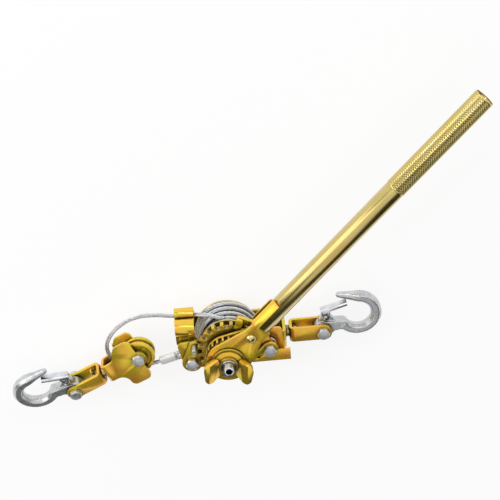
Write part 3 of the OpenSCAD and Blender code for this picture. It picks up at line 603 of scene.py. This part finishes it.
def knurledGrip(setup):
    # crossing grooves with a point at the middle of each diamond, between two plain collars
    sides = 2 * setup["around"]
    steps = 2 * setup["rows"]
    outer, chamfer = setup["outer"], setup["chamfer"]
    stations = [(0.0, setup["inner"]), (0.0, outer - chamfer), (chamfer, outer),
                (setup["collar"], outer)]
    profile = [(x, [r] * sides) for x, r in stations]
    first = setup["collar"] + setup["gap"]
    last = setup["length"] - first
    for j in range(steps + 1):
        x = first + (last - first) * j / steps
        profile.append((x, [outer - (setup["depth"] if (i + j) % 2 == 0 else 0)
                            for i in range(sides)]))
    profile += [(setup["length"] - x, [r] * sides) for x, r in reversed(stations)]
    turn = math.radians(setup["angle"])
    points = []
    for x, radii in profile:
        for i, r in enumerate(radii):
            a = fullTurn * i / sides
            along, aside = setup["from"] + x, setup["axisY"] + r * math.cos(a)
            points.append(Vector((along * math.cos(turn) - aside * math.sin(turn),
                                  along * math.sin(turn) + aside * math.cos(turn),
                                  setup["axisZ"] + r * math.sin(a))) * mm)
    faces, count = [], len(profile)
    for j in range(count):
        for i in range(sides):
            n, m = (i + 1) % sides, (j + 1) % count
            a, b, c, d = j * sides + i, j * sides + n, m * sides + n, m * sides + i
            faces += [(a, b, c), (a, c, d)] if (i + j) % 2 == 0 else [(a, b, d), (b, c, d)]
    return meshFrom("knurledGrip", points, faces, False)


addPiece("handle_grip_knurled", knurledGrip(knurl), bodyOf["handle_grip"], gripZinc,
         ("handle_grip",))

paleEdges = {
    "bracket_rivets": 0.3, "cable_drum": 0.4, "handle_rivet": 0.3, "load_swivel_pin": 0.3,
    "anchor_swivel_pin": 0.3, "main_axle": 0.4,
}
for node, width in paleEdges.items():
    roundedNode(node, paleZinc, width)
boltEdges = {
    "anchor_bolt": 0.22, "pawl_bolt": 0.22, "frame_nuts": 0.22, "stop_pin": 0.3,
    "block_bolt": 0.22, "load_clevis_bolt": 0.22, "anchor_clevis_bolt": 0.22,
    "cable_thimble": 0.3,
}
for node, width in boltEdges.items():
    roundedNode(node, silverZinc, width)
roundedNode("cap_screw", shadedSocketSteel("screwSteel"), 0.3)
roundedNode("load_cotter", goldZinc, 0.1)

# places along the ferrule from its end, with the share of the full radius there
ferruleStations = [(0, 0.72), (0, 0.86), (0.35, 0.95), (1.0, 0.985), (2.4, 0.96), (3.4, 0.985),
                   (5.0, 1.0)]


def ferruleMesh(setup):
    # oval sleeve pressed round two ropes, its ends drawn in and each with a rolled lip
    around, points = setup["around"], []
    mirrored = [(setup["length"] - x, share) for x, share in reversed(ferruleStations)]
    stations = ferruleStations + mirrored
    for x, share in stations:
        radius = setup["radius"] * share
        along = setup["centre"] + ferruleWay * (x - setup["length"] / 2)
        for k in range(around):
            a = fullTurn * k / around
            across = setup["reach"] * (1 if math.cos(a) > 0 else -1) + radius * math.cos(a)
            up = Vector((0, 0, radius * math.sin(a)))
            points.append((along + ferruleSide * across + up) * mm)
    faces = bandFaces(len(stations), around) + capFaces(len(stations), around)
    return meshFrom("pressedFerrule", points, faces)


addPiece("rope_ferrule", ferruleMesh(ferrule), bodyOf["cable_ferrule"], ferruleAlloy,
         ("cable_ferrule",))
for node in ("load_latch", "anchor_latch", "load_latch_rivet", "anchor_latch_rivet"):
    roundedNode(node, latchSteel, 0.2)
for node in ("load_hook", "anchor_hook"):
    forgedNode(node, forgedSteel)
print("hardware dressed")

springWire = {"radius": 7.4, "wire": 1.3, "pitch": 1.85, "turns": 1.75, "start": 200,
              "centre": (47.3, -1.8), "base": 55.3, "stepsPerTurn": 36, "sides": 12}


def springLine(setup):
    line = []
    for i in range(int(setup["turns"] * setup["stepsPerTurn"]) + 1):
        a = math.radians(setup["start"] - 360 / setup["stepsPerTurn"] * i)
        line.append(Vector((setup["centre"][0] + setup["radius"] * math.cos(a),
                            setup["centre"][1] + setup["radius"] * math.sin(a),
                            setup["base"] + setup["pitch"] * i / setup["stepsPerTurn"])) * mm)
    return line


springCoil = tubeMesh("pawlSpringWire", springLine(springWire), springWire["wire"] / 2 * mm,
                      springWire["sides"])
addPiece("pawl_spring_wire", springCoil, bodyOf["pawl_spring"], brightSteel, ("pawl_spring",))
print("pawl spring coiled")

# ---- floor, light and world

# each side gives heights above the horizon and how bright the studio is there
studio = {
    "floorSize": 30.0, "floorDrop": -0.0002, "floorTone": (0.86, 0.86, 0.86, 1),
    "floorGlow": 1.12, "glowShare": 0.72,
    "target": (0, 0, 0.05),
    "keyPlace": (-1.35, 0.74, 0.84), "keySize": (1.3, 1.3), "keyPower": 7.5,
    "edgePlace": (0.2, 1.3, 1.0), "edgeSize": (1.3, 0.16), "edgePower": 3,
    "world": 1.0,
    "paleSide": ((0.0, 0.9), (0.32, 0.95), (0.42, 0.45), (0.54, 0.45), (0.66, 1.0),
                 (0.78, 1.0), (0.90, 0.85)),
    "farSide": ((0.0, 0.85), (0.17, 0.9), (0.30, 0.04), (1.0, 0.03)),
    "darkSide": ((0.0, 0.85), (0.12, 0.9), (0.25, 0.04), (0.75, 0.03), (0.83, 0.85),
                 (1.0, 0.85)),
    "farEdge": (0.05, 0.2),
    "darkEdge": (0.1, -0.14),
}


def floorMaterial():
    # the camera, metal and glass see a share of plain glow, and the rest takes the shadow
    material = bpy.data.materials.new("paleFloor")
    material.use_nodes = True
    nodes, links = material.node_tree.nodes, material.node_tree.links
    nodes.clear()
    output = addNode(nodes, "OutputMaterial")
    mix = addNode(nodes, "MixShader")
    matt = addNode(nodes, "BsdfDiffuse")
    setInputs(matt, {"Color": studio["floorTone"]})
    glow = addNode(nodes, "Emission")
    setInputs(glow, {"Strength": studio["floorGlow"]})
    path = addNode(nodes, "LightPath")
    mirrored = addNode(nodes, "Math", operation="MAXIMUM")
    seen = addNode(nodes, "Math", operation="MAXIMUM")
    share = addNode(nodes, "Math", operation="MULTIPLY")
    setInputs(share, {1: studio["glowShare"]})
    links.new(path.outputs["Is Glossy Ray"], mirrored.inputs[0])
    links.new(path.outputs["Is Transmission Ray"], mirrored.inputs[1])
    links.new(path.outputs["Is Camera Ray"], seen.inputs[0])
    links.new(mirrored.outputs[0], seen.inputs[1])
    links.new(seen.outputs[0], share.inputs[0])
    links.new(share.outputs[0], mix.inputs[0])
    links.new(matt.outputs[0], mix.inputs[1])
    links.new(glow.outputs[0], mix.inputs[2])
    links.new(mix.outputs[0], output.inputs["Surface"])
    return material


def makeFloor():
    half = studio["floorSize"] / 2
    corners = [(-half, -half, 0), (half, -half, 0), (half, half, 0), (-half, half, 0)]
    mesh = meshFrom("floor", corners, [(0, 1, 2, 3)], False)
    floor = bpy.data.objects.new("floor", mesh)
    floor.location.z = studio["floorDrop"]
    scene.collection.objects.link(floor)
    mesh.materials.append(floorMaterial())


def makeLamp(name, place, target, size, power):
    data = bpy.data.lights.new(name, "AREA")
    data.shape = "RECTANGLE"
    data.size, data.size_y = size
    data.energy = power
    lamp = bpy.data.objects.new(name, data)
    lamp.location = place
    lamp.rotation_mode = "QUATERNION"
    lamp.rotation_quaternion = (Vector(target) - Vector(place)).to_track_quat("-Z", "Y")
    scene.collection.objects.link(lamp)


def makeWorld():
    # a pale studio with a dark side wall, which metal needs to read as metal
    world = bpy.data.worlds.new("studio")
    scene.world = world
    world.use_nodes = True
    nodes, links = world.node_tree.nodes, world.node_tree.links
    back = nodes["Background"]
    setInputs(back, {"Strength": studio["world"]})
    place = addNode(nodes, "TexCoord")
    axes = addNode(nodes, "SeparateXYZ")
    links.new(place.outputs["Generated"], axes.inputs[0])

    def heightRamp(tones):
        ramp = addNode(nodes, "ValToRGB")
        fillRamp(ramp, [(at, (tone, tone, tone)) for at, tone in tones])
        links.new(axes.outputs["Z"], ramp.inputs["Fac"])
        return ramp.outputs["Color"]

    def blendAcross(axis, edges, near, far):
        edge = addNode(nodes, "MapRange")
        setInputs(edge, {"From Min": edges[0], "From Max": edges[1]})
        links.new(axes.outputs[axis], edge.inputs["Value"])
        mix = addNode(nodes, "Mix", data_type="RGBA")
        links.new(edge.outputs["Result"], mix.inputs[0])
        links.new(near, mix.inputs[mixNear])
        links.new(far, mix.inputs[mixFar])
        return mix.outputs[mixResult]

    pale, far, dark = [heightRamp(studio[side]) for side in ("paleSide", "farSide", "darkSide")]
    shaded = blendAcross("X", studio["farEdge"], dark, far)
    links.new(blendAcross("Y", studio["darkEdge"], pale, shaded), back.inputs["Color"])


makeFloor()
for lamp in ("key", "edge"):
    makeLamp(lamp + "Lamp", studio[lamp + "Place"], studio["target"], studio[lamp + "Size"],
             studio[lamp + "Power"])
makeWorld()
scene.view_settings.view_transform = "Standard"
print("studio lit")
